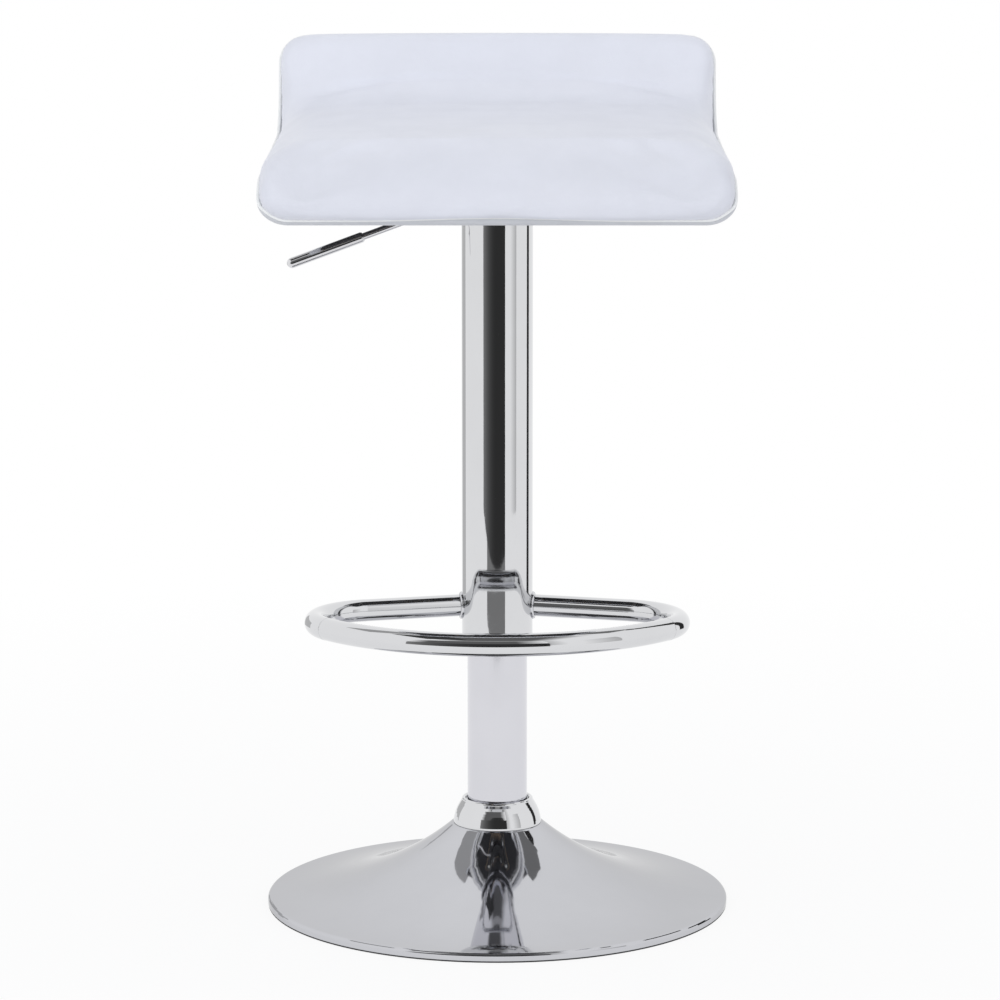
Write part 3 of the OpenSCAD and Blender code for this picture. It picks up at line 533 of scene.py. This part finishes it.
def new_object(name, vertices, faces, material, smooth=True):
    """An object in the row frame, with its faces turned outward."""
    mesh = bpy.data.meshes.new(name)
    mesh.from_pydata([tuple(v) for v in vertices], [], faces)
    mesh.update()
    work = bmesh.new()
    work.from_mesh(mesh)
    bmesh.ops.recalc_face_normals(work, faces=work.faces)
    work.to_mesh(mesh)
    work.free()
    obj = bpy.data.objects.new(name, mesh)
    bpy.context.collection.objects.link(obj)
    for polygon in mesh.polygons:
        polygon.use_smooth = smooth
    mesh.materials.append(material)
    return obj


def swept(name, rings, material):
    """A closed loop of closed rings."""
    count, size = len(rings), len(rings[0])
    vertices = [p for ring in rings for p in ring]
    faces = []
    for i in range(count):
        here, there = i * size, (i + 1) % count * size
        for j in range(size):
            k = (j + 1) % size
            faces.append((here + j, here + k, there + k, there + j))
    return new_object(name, vertices, faces, material)


def loop_tube(name, points, radii, material, sides):
    """A tube along a closed loop of points, with a radius at each."""
    rings = []
    up = None
    for i, (p, r) in enumerate(zip(points, radii)):
        tangent = (points[(i + 1) % len(points)] - points[i - 1]).normalized()
        if up is None:
            up = tangent.orthogonal().normalized()
        up = (up - up.dot(tangent) * tangent).normalized()
        side = tangent.cross(up)
        rings.append([
            p + r * (math.cos(a) * up + math.sin(a) * side)
            for a in (2 * math.pi * k / sides for k in range(sides))
        ])
    return swept(name, rings, material)


def evaluated_mesh(obj):
    """A new mesh of obj with its modifiers applied."""
    graph = bpy.context.evaluated_depsgraph_get()
    graph.update()
    return bpy.data.meshes.new_from_object(obj.evaluated_get(graph))


def with_modifier(obj, kind, **settings):
    """Applies one modifier to obj's mesh."""
    modifier = obj.modifiers.new(kind.lower(), kind)
    for key, value in settings.items():
        setattr(modifier, key, value)
    mesh = evaluated_mesh(obj)
    obj.modifiers.clear()
    obj.data = mesh


def inflated(obj, pressure, frames, cap, free):
    """Blows obj up as cloth over some frames, and moves no point further than the cap.

    free(point) from 0 to 1 says how much of its way each point may go.
    """
    start = [v.co.copy() for v in obj.data.vertices]
    share = [free(p) for p in start]
    group = obj.vertex_groups.new(name="pin")
    for i, value in enumerate(share):
        if value < 0.999:
            group.add([i], 1 - value, "REPLACE")
    cloth = obj.modifiers.new("cloth", "CLOTH")
    settings = cloth.settings
    settings.quality = 6
    settings.mass = 0.25
    settings.tension_stiffness = 22
    settings.compression_stiffness = 22
    settings.shear_stiffness = 12
    settings.bending_stiffness = 2.5
    settings.use_pressure = True
    settings.uniform_pressure_force = pressure
    settings.vertex_group_mass = "pin"
    settings.pin_stiffness = 1.0
    settings.effector_weights.gravity = 0.0
    cloth.collision_settings.use_collision = False
    cloth.collision_settings.use_self_collision = False
    cloth.point_cache.frame_start = 1
    cloth.point_cache.frame_end = frames
    for number in range(1, frames + 1):
        SCENE.frame_set(number)
    result = evaluated_mesh(obj)
    moved = [v.co.copy() for v in result.vertices]
    bpy.data.meshes.remove(result)
    obj.modifiers.clear()
    SCENE.frame_set(1)
    for vertex, a, b, value in zip(obj.data.vertices, start, moved, share):
        step = (b - a) * value
        if step.length > cap:
            step *= cap / step.length
        vertex.co = a + step


def make_cushion():
    """The padded cover: the foam's form, let out to its seam, blown up as cloth, held at its foot."""
    voxel = 4.5 * MM
    let_out_from, let_out_to = 75 * MM, 12 * MM
    roll_share, foot_top = 0.8, 9 * MM
    lift_from, lift_to = 5 * MM, 22 * MM
    held_below, free_above = 0.5 * MM, 8 * MM
    obj = bpy.data.objects.new("seat_cushion", NODES["seat_foam"].data.copy())
    obj.data.transform(NODES["seat_foam"].matrix_world)
    bpy.context.collection.objects.link(obj)
    work = bmesh.new()
    work.from_mesh(obj.data)
    bmesh.ops.remove_doubles(work, verts=work.verts, dist=1e-6)
    work.to_mesh(obj.data)
    work.free()
    with_modifier(obj, "REMESH", mode="VOXEL", voxel_size=voxel)
    with_modifier(obj, "SMOOTH", factor=0.5, iterations=2)

    # The sides go out to the seam, the foot down over the strip's roll, the top up over the bend
    foot = min(edge_coords(v.co.x, section_coords(v.co)[0])[0] for v in obj.data.vertices)
    for vertex in obj.data.vertices:
        x = vertex.co.x
        s, n = section_coords(vertex.co)
        inside, out_x, out_s = edge_coords(x, s)
        near_edge = 1 - smooth_step(inside, let_out_to, let_out_from)
        let_out = (foot - seam_inset(x, s)) * near_edge
        over_roll = roll_share * rim_height(max(0.0, inside - let_out))
        n += over_roll * (1 - smooth_step(n, 0, foot_top))
        n += bridged(x, s) * smooth_step(n, lift_from, lift_to)
        vertex.co = seat_point(x + out_x * let_out, s + out_s * let_out, n)

    def free(point):
        return smooth_step(section_coords(point)[1], held_below, free_above)

    inflated(obj, pressure=4.0, frames=20, cap=5 * MM, free=free)
    with_modifier(obj, "SMOOTH", factor=0.5, iterations=2)
    with_modifier(obj, "SUBSURF", levels=1, render_levels=1)
    obj.data.materials.clear()
    obj.data.materials.append(MAT["leather"])
    for polygon in obj.data.polygons:
        polygon.use_smooth = True
        polygon.material_index = 0
    return obj


def strip_profile():
    """The side strip's closed section: (inset from the outline, n)."""
    middle_in, middle_n, half_in, half_n = 6.3, -6.2, 6.2, 6.6
    over_plywood = [(14.0, 0.5), (10.0, 0.45)]
    roll = [
        (middle_in - half_in * math.cos(a), middle_n + half_n * math.sin(a))
        for a in (math.radians(90 - 15 * k) for k in range(13))
    ]
    turned_under = [(9.0, -13.1), (13.5, -13.0), (13.6, -12.5), (10.0, -12.15), (6.6, -12.1)]
    along_plywood = [(6.3, -9.0), (6.3, -3.0), (6.6, -0.6), (13.9, -0.3)]
    return [(i * MM, n * MM) for i, n in over_plywood + roll + turned_under + along_plywood]


def make_rim():
    """The cover's side strip: a soft roll round the plywood's edge, turned under and pleated."""
    pleats, pleat_depth = 6, 0.35 * MM
    pleat_top, pleat_foot = -9 * MM, -13 * MM
    face_in, face_n = 5 * MM, -12.3 * MM
    profile = strip_profile()
    rings = []
    for station in outline(STRIP_STEP):
        pleat = 0.0
        if station.turn is not None:
            pleat = pleat_depth * abs(math.sin(station.turn * pleats * 2 * math.pi))
            pleat *= math.sin(station.turn * math.pi)
        ring = []
        for inset, n in profile:
            # Only the strip's outer face is pleated
            outer = inset < face_in or n < face_n
            fold = pleat * smooth_step(n, pleat_top, pleat_foot) if outer else 0.0
            ring.append(inside_point(station, inset, n - fold))
        rings.append(ring)
    # Its leather is painted greyer than the cover's: painted shade under the seat's edge
    return swept("seat_rim", rings, MAT["strip"])


def make_piping():
    """The corded seam between the cushion and its side strip."""
    cord_r, cord_rise, past_seam, least_inset = 1.6 * MM, 1.7 * MM, 0.4 * MM, 1.4 * MM
    points = []
    for station in outline(STRIP_STEP):
        inset = max(seam_inset(station.x, station.s) - past_seam, least_inset)
        points.append(inside_point(station, inset, rim_height(inset) + cord_rise))
    return loop_tube("seat_piping", points, [cord_r] * len(points), MAT["piping"], 12)


def make_stitches(cushion):
    """One row of stitches just above the piping, on the cushion's own surface."""
    tree = BVHTree.FromObject(cushion, bpy.context.evaluated_depsgraph_get())
    length, radius, sides = 2.6 * MM, 0.32 * MM, 6
    past_seam, height = 0.5 * MM, 4.2 * MM
    # Rings along a stitch: share of its length, share of its radius, height over the cover
    rings = (
        (-0.5, 0.45, -0.35 * MM),
        (-0.3, 1.0, 0.02 * MM),
        (0.3, 1.0, 0.02 * MM),
        (0.5, 0.45, -0.35 * MM),
    )
    vertices, faces = [], []
    for station in outline(STITCH_STEP):
        inset = seam_inset(station.x, station.s) - past_seam
        wanted = inside_point(station, inset, height)
        spot, normal = tree.find_nearest(wanted)[:2]
        along = (inside_point(station, inset, height, 1 * MM) - wanted).normalized()
        along = (along - along.dot(normal) * normal).normalized()
        side = along.cross(normal)
        first = len(vertices)
        for share, slim, rise in rings:
            middle = spot + share * length * along + rise * normal
            for k in range(sides):
                a = 2 * math.pi * k / sides
                vertices.append(middle + slim * radius * (math.cos(a) * side + math.sin(a) * normal))
        last = first + (len(rings) - 1) * sides
        for low in range(first, last, sides):
            for k in range(sides):
                a, b = low + k, low + (k + 1) % sides
                faces.append((a, b, b + sides, a + sides))
        faces.append(tuple(range(first + sides - 1, first - 1, -1)))
        faces.append(tuple(range(last, last + sides)))
    return new_object("seat_stitches", vertices, faces, MAT["thread"])


def make_staples():
    """Staples that hold the turned-under cover to the plywood."""
    wire, crown, inset, height = 0.35 * MM, 9 * MM, 9.6 * MM, -13.2 * MM
    most_askew = math.radians(14)
    corners = ((-1, -1), (1, -1), (1, 1), (-1, 1))
    vertices, faces = [], []
    for index, station in enumerate(outline(STAPLE_STEP)):
        askew = most_askew * math.sin(index * 2.3)
        centre = inside_point(station, inset, height)
        down = (inside_point(station, inset, height - 1 * MM) - centre).normalized()
        along = (inside_point(station, inset, height, 1 * MM) - centre).normalized()
        along = Matrix.Rotation(askew, 3, down) @ along
        side = along.cross(down)
        first = len(vertices)
        for share in (-0.5, 0.5):
            for a, b in corners:
                vertices.append(centre + share * crown * along + wire * (a * side + b * down))
        for k in range(4):
            a, b = first + k, first + (k + 1) % 4
            faces.append((a, b, b + 4, a + 4))
        faces.append(tuple(range(first + 3, first - 1, -1)))
        faces.append(tuple(range(first + 4, first + 8)))
    return new_object("cover_staples", vertices, faces, MAT["zinc_steel"], smooth=False)


def make_weld(side):
    """The weld bead where one of the footrest's bars meets the sleeve."""
    bar_sweep = math.radians(17.2)
    off_bar, off_sleeve = 0.25 * MM, 0.35 * MM
    bead_r, ripple, ripples, steps = 1.75 * MM, 0.22 * MM, 17, 72
    low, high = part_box("footrest_tube")
    sleeve_low, sleeve_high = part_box("sleeve_tube")
    sleeve_r = (sleeve_high[0] - sleeve_low[0]) / 2
    loop_r = (high[2] - low[2]) / 2 + off_bar
    start = Vector((side * sleeve_r, 0, (high[2] + low[2]) / 2))
    along = Vector((side * math.cos(bar_sweep), -math.sin(bar_sweep), 0))
    across = Vector((along.y, -along.x, 0))
    up = Vector((0, 0, 1))
    points, radii = [], []
    for k in range(steps):
        a = 2 * math.pi * k / steps
        p = start + loop_r * (math.cos(a) * across + math.sin(a) * up)
        # Along the bar from there, out to the cylinder just over the sleeve's surface
        flat = Vector((p.x, p.y, 0))
        b = flat.dot(along)
        c = flat.length_squared - (sleeve_r + off_sleeve) ** 2
        points.append(p + (math.sqrt(b * b - c) - b) * along)
        radii.append(bead_r + ripple * math.sin(a * ripples) ** 2)
    name = "weld_right" if side > 0 else "weld_left"
    return loop_tube(name, points, radii, MAT["weld"], 10)


seat_cushion = make_cushion()
seat_rim = make_rim()
seat_piping = make_piping()
seat_stitches = make_stitches(seat_cushion)
cover_staples = make_staples()
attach(seat_cushion, "seat")
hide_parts("seat_cover", "seat_foam")
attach(seat_rim, "seat")
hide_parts("seat_edge_band")
for piece, slot_name in (
    (seat_piping, "white_leather"),
    (seat_stitches, "white_leather"),
    (cover_staples, "zinc_steel"),
):
    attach(piece, "seat")
for side in (-1, 1):
    weld = make_weld(side)
    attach(weld, "seat")


# ---------------------------------------------------------------- stage, light and camera

WHITE = (1, 1, 1, 1)


def background_rays(tree):
    """1 for the rays that draw the background: seen, mirrored or through something. 0 for others."""
    path = tree.nodes.new("ShaderNodeLightPath")
    rays = math_node(tree, "MAXIMUM", path.outputs["Is Camera Ray"], path.outputs["Is Glossy Ray"])
    return math_node(tree, "MAXIMUM", rays, path.outputs["Is Transmission Ray"])


def mixed_shader(tree, factor, a, b):
    """A shader between a and b."""
    node = tree.nodes.new("ShaderNodeMixShader")
    for socket, value in zip(node.inputs, (factor, a, b)):
        tree.links.new(value, socket)
    return node.outputs[0]


def stage_plane(name, width, depth, place, turn=(0, 0, 0)):
    """A rectangle of the stage, turned by degrees."""
    mesh = bpy.data.meshes.new(name)
    x, y = width / 2, depth / 2
    mesh.from_pydata([(-x, -y, 0), (x, -y, 0), (x, y, 0), (-x, y, 0)], [], [(0, 1, 2, 3)])
    obj = bpy.data.objects.new(name, mesh)
    obj.location = place
    obj.rotation_euler = [math.radians(a) for a in turn]
    bpy.context.collection.objects.link(obj)
    return obj


def make_floor():
    """White paper that fades into the background away from the object."""
    side, below_foot, paper_r, fade_r = 40, 0.2 * MM, 0.2, 1.6
    floor = stage_plane("floor", side, side, (0, 0, -below_foot))
    material, tree, shader, coords = new_material("floor_paper")
    shader.inputs["Roughness"].default_value = 0.9
    shader.inputs["Specular IOR Level"].default_value = 0.1
    tint = mixed(tree, noise(tree, coords, 3, 3), (0.90, 0.90, 0.91), (0.93, 0.93, 0.94))
    tree.links.new(tint, shader.inputs["Base Color"])
    away = tree.nodes.new("ShaderNodeVectorMath")
    away.operation = "LENGTH"
    tree.links.new(coords, away.inputs[0])
    share = remap(tree, away.outputs["Value"], paper_r, fade_r, 0.88, 1.0)
    glow = tree.nodes.new("ShaderNodeEmission")
    glow.inputs["Color"].default_value = WHITE
    glow.inputs["Strength"].default_value = 1.0
    factor = math_node(tree, "MULTIPLY", background_rays(tree), share)
    look = mixed_shader(tree, factor, shader.outputs[0], glow.outputs[0])
    tree.links.new(look, tree.nodes["Material Output"].inputs["Surface"])
    floor.data.materials.append(material)


def make_flag(name, width, height, place, turn, shade, soft=0.0, left=None, reach=0.5, power=1):
    """A studio card that only shows in the metal's reflections.

    Its sides fade to white over their soft share. If its left edge is given a shade, it fades from
    that to its own instead: by a power, and as far as reach, a share of its width past its middle.
    """
    card = stage_plane(name, width, height, place, turn)
    material = bpy.data.materials.new(name)
    material.use_nodes = True
    tree = material.node_tree
    tree.nodes.clear()
    glow = tree.nodes.new("ShaderNodeEmission")
    axes = tree.nodes.new("ShaderNodeSeparateXYZ")
    tree.links.new(tree.nodes.new("ShaderNodeTexCoord").outputs["Object"], axes.inputs[0])
    if left is None:
        across = math_node(tree, "ABSOLUTE", axes.outputs["X"], 0)
        full = 1 if soft else 0
        fade = remap(tree, across, width / 2 * (1 - soft), width / 2, 0, full)
        edge = 1.0
    else:
        fade = remap(tree, axes.outputs["X"], -width / 2, width * reach, 1, 0)
        fade = math_node(tree, "POWER", fade, power)
        edge = left
    tree.links.new(mixed(tree, fade, (shade,) * 3, (edge,) * 3), glow.inputs["Color"])
    out = tree.nodes.new("ShaderNodeOutputMaterial")
    tree.links.new(glow.outputs[0], out.inputs["Surface"])
    card.data.materials.append(material)
    card.visible_camera = False
    card.visible_diffuse = False
    card.visible_shadow = False
    card.visible_transmission = False


def area_light(name, place, target, size, power):
    """A rectangular lamp aimed at the target, unseen in the metal."""
    data = bpy.data.lights.new(name, "AREA")
    data.shape = "RECTANGLE"
    data.size, data.size_y = size
    data.energy = power
    obj = bpy.data.objects.new(name, data)
    obj.location = place
    obj.rotation_euler = (Vector(target) - Vector(place)).to_track_quat("-Z", "Y").to_euler()
    obj.visible_glossy = False
    bpy.context.collection.objects.link(obj)


def make_world(ambient):
    """Even, slightly cool light for surfaces, and plain white for the background."""
    world = bpy.data.worlds.new("studio")
    SCENE.world = world
    world.use_nodes = True
    tree = world.node_tree
    tree.nodes.clear()
    out = tree.nodes.new("ShaderNodeOutputWorld")
    light = tree.nodes.new("ShaderNodeBackground")
    light.inputs["Color"].default_value = (0.96, 0.97, 1.0, 1)
    light.inputs["Strength"].default_value = ambient
    white = tree.nodes.new("ShaderNodeBackground")
    white.inputs["Color"].default_value = WHITE
    white.inputs["Strength"].default_value = 1.0
    look = mixed_shader(tree, background_rays(tree), light.outputs[0], white.outputs[0])
    tree.links.new(look, out.inputs["Surface"])


def make_camera():
    """The photo's view: from the front, a little over the seat and looking down."""
    place, pitch, lens = (0.0023, -2.9, 0.7824), math.radians(8.541), 124.92
    data = bpy.data.cameras.new("camera")
    data.sensor_width = 36
    data.lens = lens
    data.clip_end = 100
    obj = bpy.data.objects.new("camera", data)
    obj.location = place
    obj.rotation_euler = (math.pi / 2 - pitch, 0, 0)
    bpy.context.collection.objects.link(obj)
    SCENE.camera = obj


make_floor()

# Cards that stand before the stool, for the dark bands on the tubes and the pan
FRONT = (90, 0, 0)
make_flag("flag_foot", 1.28, 0.10, (-0.10, -1.15, 0.05), FRONT, 0.22)
make_flag(
    "flag_front", 1.69, 0.52, (-0.305, -1.15, 0.36), FRONT, 0.035, left=0.26, reach=0.15, power=2
)
make_flag("flag_over", 1.69, 0.66, (-0.305, -1.15, 0.95), FRONT, 0.13, soft=0.4)
make_flag("wall_front", 5.0, 4.0, (0, -3.4, 2.35), FRONT, 0.42, soft=0.5)

# Cards that stand beside it, for the lines along the tubes' sides
make_flag("flag_side", 0.32, 2.2, (1.30, 0.64, 1.1), (90, 0, 116), 0.03)
make_flag("flag_line", 0.53, 0.8, (1.155, -0.87, 0.52), (90, 0, 53), 0.55, left=1.0)
make_flag("flag_edge", 0.80, 0.55, (-0.95, 1.09, 0.275), (90, 0, 41), 0.58)

# Cards that lie over it, for the shades on the pan's slope and on the lever's grip
LYING = (0, 0, 0)
make_flag("flag_grip", 0.70, 1.1, (-0.76, -0.62, 1.9), LYING, 0.05)
make_flag("flag_high", 1.05, 0.7, (-0.97, 0.40, 1.9), LYING, 0.40)
make_flag("flag_right", 0.62, 0.7, (0.80, 0.40, 1.9), LYING, 0.20)
make_flag("wall_over", 5.0, 3.2, (0, -1.8, 4.35), LYING, 0.13, soft=0.5)

area_light("key", (-1.6, -3.2, 1.4), target=(0, 0, 0.6), size=(2.4, 2.4), power=28)
area_light("fill", (2.2, -3.0, 0.9), target=(0, 0, 0.6), size=(2.0, 2.0), power=12)
area_light("top", (0, 0.6, 3.6), target=(0, 0, 0.4), size=(2.5, 2.5), power=4)
make_world(ambient=0.78)
make_camera()
SCENE.view_settings.view_transform = "Standard"
